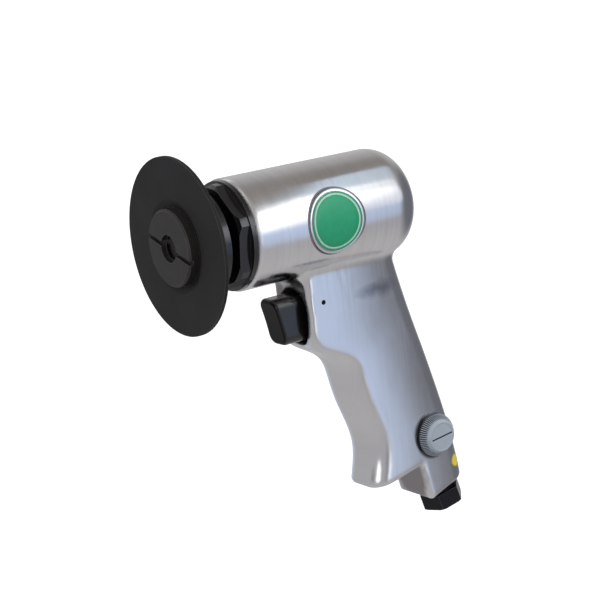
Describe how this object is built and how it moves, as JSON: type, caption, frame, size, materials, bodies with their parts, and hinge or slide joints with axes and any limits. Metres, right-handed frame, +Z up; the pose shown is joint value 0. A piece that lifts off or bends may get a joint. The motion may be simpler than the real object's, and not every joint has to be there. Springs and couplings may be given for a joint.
{
  "type": "air disc sander",
  "caption": "Pistol-grip air disc sander: cast barrel and handle, vane motor, spinning backing pad held by a slotted nut, push trigger, speed regulator knob and threaded air inlet.",
  "frame": {"origin": "on the spindle's axis, in the plane of the backing pad's sanding face", "axes": "-Y along the spindle out of the sanding face, +Z up out of the barrel away from the grip, +X to the operator's left"},
  "size_m": [0.075, 0.136, 0.1837],
  "materials": {
    "cast_aluminium": "polished and lightly brushed casting",
    "black_steel": "glossy black oxide",
    "dark_nut_steel": "dull dark oxide",
    "pad_rubber": "matte black",
    "felt": "felt",
    "gasket_fibre": "pressed fibre",
    "end_plate_iron": "machined",
    "cylinder_steel": "ground bore",
    "ground_steel": "ground",
    "bearing_steel": "polished",
    "spring_steel": "drawn wire",
    "trigger_plastic": "black, slightly glossy",
    "valve_brass": "machined",
    "seal_rubber": "black rubber",
    "knob_grey": "blue-grey moulding",
    "vane_resin": "cloth-filled resin",
    "badge_enamel": "green enamel",
    "yellow_label": "printed label"
  },
  "bodies": {
    "housing": {"housing": "cast_aluminium", "front_cap": "black_steel", "spindle_seal": "felt", "front_plate": "end_plate_iron", "cylinder": "cylinder_steel", "rear_plate": "end_plate_iron", "motor_gasket": "gasket_fibre", "locating_pin": "ground_steel", "front_bearing_outer": "bearing_steel", "rear_bearing_outer": "bearing_steel", "trigger_pin": "ground_steel", "valve_bushing": "valve_brass", "bushing_seal": "seal_rubber", "regulator_clip": "spring_steel", "inlet_bushing": "black_steel", "inlet_screen": "ground_steel", "exhaust_cover": "ground_steel", "exhaust_felt": "felt", "badge": "badge_enamel", "dot_label": "yellow_label"},
    "spindle": {"rotor": "ground_steel", "vane_1": "vane_resin", "vane_2": "vane_resin", "vane_3": "vane_resin", "vane_4": "vane_resin", "vane_5": "vane_resin", "front_bearing_inner": "bearing_steel", "rear_bearing_inner": "bearing_steel", "pad_flange": "black_steel", "backing_pad": "pad_rubber", "pad_nut": "dark_nut_steel"},
    "front_ball_set": {"front_bearing_balls": "bearing_steel"},
    "rear_ball_set": {"rear_bearing_balls": "bearing_steel"},
    "trigger": {"trigger": "trigger_plastic", "valve_stem": "valve_brass", "valve_seal": "seal_rubber", "valve_spring": "spring_steel"},
    "regulator": {"regulator_knob": "knob_grey", "regulator_stem": "valve_brass", "regulator_seal": "seal_rubber"}
  },
  "joints": [
    {"name": "spindle_spin", "type": "hinge", "parent": "housing", "child": "spindle", "pos_m": [0, 0, 0], "axis": [0, -1, 0], "continuous": true},
    {"name": "front_balls_roll", "type": "hinge", "parent": "housing", "child": "front_ball_set", "pos_m": [0, 0.0372, 0], "axis": [0, -1, 0], "continuous": true},
    {"name": "rear_balls_roll", "type": "hinge", "parent": "housing", "child": "rear_ball_set", "pos_m": [0, 0.0985, 0], "axis": [0, -1, 0], "continuous": true},
    {"name": "trigger_push", "type": "slide", "parent": "housing", "child": "trigger", "axis": [0, 1, 0], "range_m": [0, 0.0045], "stiffness_N_per_m": 1500, "springref_m": -0.003, "deforming": ["valve_spring"]},
    {"name": "regulator_turn", "type": "hinge", "parent": "housing", "child": "regulator", "pos_m": [0, 0.1125, -0.107], "axis": [1, 0, 0], "range_deg": [0, 90]}
  ],
  "couplings": [
    {"joint": "front_balls_roll", "follows": "spindle_spin", "ratio": 0.3756},
    {"joint": "rear_balls_roll", "follows": "spindle_spin", "ratio": 0.3693}
  ]
}
